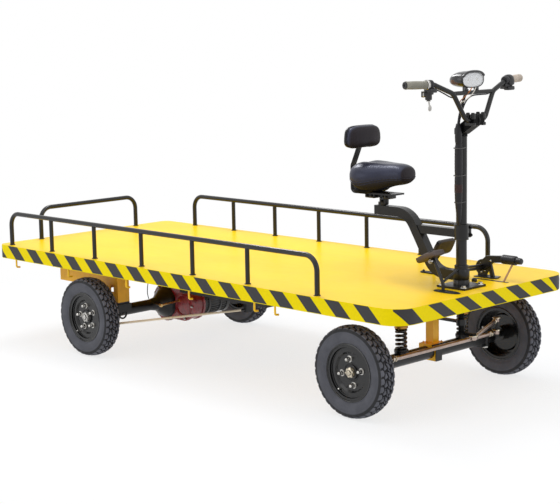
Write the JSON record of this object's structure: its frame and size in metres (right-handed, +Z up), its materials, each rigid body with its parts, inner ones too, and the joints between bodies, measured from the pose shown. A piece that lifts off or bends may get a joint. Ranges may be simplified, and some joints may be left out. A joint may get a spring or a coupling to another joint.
{
  "type": "electric platform truck",
  "caption": "Flat-deck electric platform truck with tube guard rails, striped skirt, handlebar steering column, saddle seat, rear drive axle and sprung front axle.",
  "frame": {"origin": "on the ground under the middle of the deck", "axes": "+X forward, +Y to the vehicle's left, +Z up"},
  "size_m": [3, 1.25, 1.531],
  "materials": {
    "deck_yellow": "gloss",
    "stripe_black": "satin",
    "frame_yellow": "satin",
    "rail_black": "gloss",
    "black_paint": "gloss",
    "battery_black": "satin",
    "gearbox_red": "gloss",
    "motor_black": "satin",
    "spring_black": "gloss",
    "seat_bronze": "satin",
    "leather_dark": "satin",
    "loom_black": "matte",
    "zinc": "satin",
    "grip_grey": "matte",
    "control_black": "satin",
    "lens_clear": "gloss",
    "lens_amber": "gloss",
    "tyre_black": "matte",
    "rim_black": "gloss"
  },
  "bodies": {
    "chassis": {"deck": "deck_yellow", "hazard_stripes": "stripe_black", "cross_members": "frame_yellow", "long_beam_right": "frame_yellow", "long_beam_left": "frame_yellow", "rope_hooks": "frame_yellow", "rear_hangers": "frame_yellow", "front_post": "frame_yellow", "guard_rail_right": "rail_black", "guard_rail_left": "rail_black", "guard_rail_rear": "rail_black", "rear_axle": "black_paint", "front_beam": "black_paint", "column": "black_paint", "tie_bar": "black_paint", "seat_tube": "black_paint", "backrest_bracket": "black_paint", "pedal_right": "black_paint", "pedal_left": "black_paint", "parking_lever": "black_paint", "seat_post": "black_paint", "battery": "battery_black", "gearbox": "gearbox_red", "motor": "motor_black", "front_springs": "spring_black", "spring_seats": "seat_bronze", "saddle": "leather_dark", "backrest": "leather_dark", "cable_loom": "loom_black", "brake_rod": "zinc"},
    "steering": {"steering_stem": "black_paint", "handlebar": "black_paint", "grips": "grip_grey", "throttle_switch": "control_black", "switch_cluster": "control_black", "lamp_shell": "control_black", "lamp_lens": "lens_clear", "side_markers": "lens_amber"},
    "knuckle_right": {"knuckle_right": "black_paint"},
    "knuckle_left": {"knuckle_left": "black_paint"},
    "tie_rod": {"tie_rod": "zinc"},
    "drag_link": {"drag_link": "zinc"},
    "wheel_front_right": {"tyre_front_right": "tyre_black", "rim_front_right": "rim_black"},
    "wheel_front_left": {"tyre_front_left": "tyre_black", "rim_front_left": "rim_black"},
    "wheel_rear_right": {"tyre_rear_right": "tyre_black", "rim_rear_right": "rim_black"},
    "wheel_rear_left": {"tyre_rear_left": "tyre_black", "rim_rear_left": "rim_black"}
  },
  "joints": [
    {"name": "steering_turn", "type": "hinge", "parent": "chassis", "child": "steering", "pos_m": [1.34, 0, 1], "axis": [0, 0, 1], "range_deg": [-32, 32]},
    {"name": "knuckle_right_turn", "type": "hinge", "parent": "chassis", "child": "knuckle_right", "pos_m": [1.167, -0.405, 0.2125], "axis": [0, 0, 1], "range_deg": [-32, 32]},
    {"name": "knuckle_left_turn", "type": "hinge", "parent": "chassis", "child": "knuckle_left", "pos_m": [1.167, 0.405, 0.2125], "axis": [0, 0, 1], "range_deg": [-32, 32]},
    {"name": "tie_rod_turn", "type": "hinge", "parent": "knuckle_right", "child": "tie_rod", "pos_m": [1.237, -0.405, 0.2265], "axis": [0, 0, 1], "range_deg": [-32, 32]},
    {"name": "drag_link_turn", "type": "hinge", "parent": "steering", "child": "drag_link", "pos_m": [1.41, 0, 0.2485], "axis": [0, 0, 1], "range_deg": [-32, 32]},
    {"name": "wheel_front_right_spin", "type": "hinge", "parent": "knuckle_right", "child": "wheel_front_right", "pos_m": [1.167, -0.547, 0.2125], "axis": [0, 1, 0], "continuous": true},
    {"name": "wheel_front_left_spin", "type": "hinge", "parent": "knuckle_left", "child": "wheel_front_left", "pos_m": [1.167, 0.547, 0.2125], "axis": [0, 1, 0], "continuous": true},
    {"name": "wheel_rear_right_spin", "type": "hinge", "parent": "chassis", "child": "wheel_rear_right", "pos_m": [-0.752, -0.5605, 0.2125], "axis": [0, 1, 0], "continuous": true},
    {"name": "wheel_rear_left_spin", "type": "hinge", "parent": "chassis", "child": "wheel_rear_left", "pos_m": [-0.752, 0.5605, 0.2125], "axis": [0, 1, 0], "continuous": true}
  ],
  "couplings": [
    {"joint": "knuckle_right_turn", "follows": "steering_turn", "ratio": 1},
    {"joint": "knuckle_left_turn", "follows": "steering_turn", "ratio": 1},
    {"joint": "tie_rod_turn", "follows": "steering_turn", "ratio": -1},
    {"joint": "drag_link_turn", "follows": "steering_turn", "ratio": -1}
  ]
}
